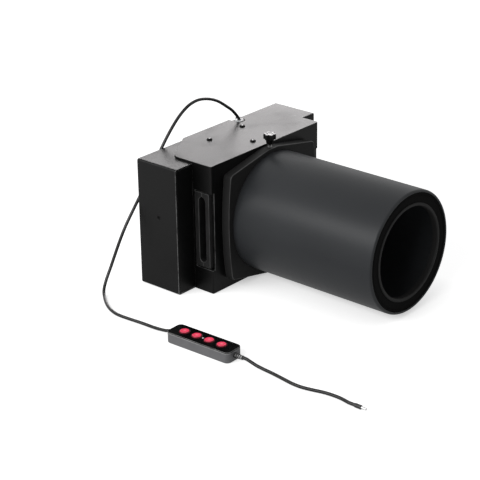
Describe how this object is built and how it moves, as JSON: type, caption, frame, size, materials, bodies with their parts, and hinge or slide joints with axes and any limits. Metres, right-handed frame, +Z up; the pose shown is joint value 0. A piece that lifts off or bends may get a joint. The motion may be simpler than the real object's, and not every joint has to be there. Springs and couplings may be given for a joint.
{
  "type": "film digitizing adapter",
  "caption": "Lit box with a sliding film carrier and a tube that holds a camera lens square to the film; a cord with a small push-button remote leaves its top.",
  "frame": {"origin": "middle of the footprint of the case and the tube, on the surface that they stand on", "axes": "+Z up, -Y out of the tube's mouth along the optical axis, +X to the right for someone who looks into the tube"},
  "size_m": [0.277, 0.3276, 0.1628],
  "materials": {
    "case_coat": "fine satin powder coat",
    "stage_coat": "fine satin powder coat",
    "tube_coat": "matte black coat",
    "plate_coat": "matte black coat",
    "cap_coat": "dull black",
    "bare_plate": "brushed",
    "zinc": "bright",
    "black_screw": "black oxide",
    "white_wall": "matte white",
    "opal": "opal",
    "chip": "yellow phosphor",
    "green_board": "solder mask",
    "small_parts": "moulded",
    "cable": "smooth jacket",
    "gland": "pale moulding",
    "rail_plastic": "moulded",
    "carrier_plastic": "moulded",
    "guide_plastic": "smooth",
    "magnet": "nickel plated",
    "knob_plastic": "moulded",
    "pad_plastic": "soft nylon",
    "remote_grey": "satin grey",
    "remote_black": "gloss",
    "button_red": "lit red",
    "lens_clear": "clear",
    "relief_rubber": "moulded",
    "plug_metal": "plated"
  },
  "bodies": {
    "adapter": {"case_tray": "case_coat", "window_panel": "case_coat", "frame_brackets": "zinc", "side_screws": "black_screw", "heat_plate": "bare_plate", "heat_spacers": "bare_plate", "back_screws": "black_screw", "led_board": "white_wall", "led_chips": "chip", "reflector_box": "white_wall", "diffuser": "opal", "driver_board": "green_board", "driver_parts": "small_parts", "inner_lead": "cable", "cable_gland": "gland", "gland_nut": "zinc", "case_nuts": "zinc", "stage_shell": "stage_coat", "top_screws": "black_screw", "stage_screws": "zinc", "upper_rail": "rail_plastic", "lower_rail": "rail_plastic", "rail_screws": "black_screw", "tube_plate": "plate_coat", "plate_screws": "zinc", "cord_a": "cable", "cord_b": "cable", "remote_base": "remote_grey", "remote_lid": "remote_black", "remote_board": "green_board", "dome_switches": "small_parts", "status_light": "lens_clear", "relief_in": "relief_rubber", "relief_out": "relief_rubber", "plug_sleeve": "small_parts", "plug_pin": "plug_metal"},
    "carrier": {"carrier_base": "carrier_plastic", "carrier_cover": "carrier_plastic", "film_guides": "guide_plastic", "carrier_magnets": "magnet", "carrier_discs": "magnet"},
    "tube": {"tube": "tube_coat", "end_cap": "cap_coat", "lens_ring": "plate_coat"},
    "clamp_pad": {"clamp_pad": "pad_plastic"},
    "clamp_knob": {"clamp_knob": "knob_plastic", "clamp_stem": "zinc"},
    "button_1": {"button_1": "button_red"},
    "button_2": {"button_2": "button_red"},
    "button_3": {"button_3": "button_red"},
    "button_4": {"button_4": "button_red"}
  },
  "joints": [
    {"name": "carrier_slide", "type": "slide", "parent": "adapter", "child": "carrier", "axis": [-1, 0, 0], "range_m": [0, 0.1]},
    {"name": "tube_turn", "type": "hinge", "parent": "adapter", "child": "tube", "pos_m": [0, 0.0435, 0.0625], "axis": [0, 1, 0], "continuous": true},
    {"name": "clamp_lift", "type": "slide", "parent": "adapter", "child": "clamp_pad", "axis": [0, 0, 1], "range_m": [0, 0.0007]},
    {"name": "clamp_turn", "type": "hinge", "parent": "clamp_pad", "child": "clamp_knob", "pos_m": [0, 0.0435, 0.133], "axis": [0, 0, 1], "range_deg": [0, 360]},
    {"name": "press_1", "type": "slide", "parent": "adapter", "child": "button_1", "axis": [0, 0, -1], "range_m": [0, 0.0007], "stiffness_N_per_m": 1500, "springref_m": -0.0001},
    {"name": "press_2", "type": "slide", "parent": "adapter", "child": "button_2", "axis": [0, 0, -1], "range_m": [0, 0.0007], "stiffness_N_per_m": 1500, "springref_m": -0.0001},
    {"name": "press_3", "type": "slide", "parent": "adapter", "child": "button_3", "axis": [0, 0, -1], "range_m": [0, 0.0007], "stiffness_N_per_m": 1500, "springref_m": -0.0001},
    {"name": "press_4", "type": "slide", "parent": "adapter", "child": "button_4", "axis": [0, 0, -1], "range_m": [0, 0.0007], "stiffness_N_per_m": 1500, "springref_m": -0.0001}
  ],
  "couplings": [
    {"joint": "clamp_turn", "follows": "clamp_lift", "rad_per_m": 8975}
  ]
}
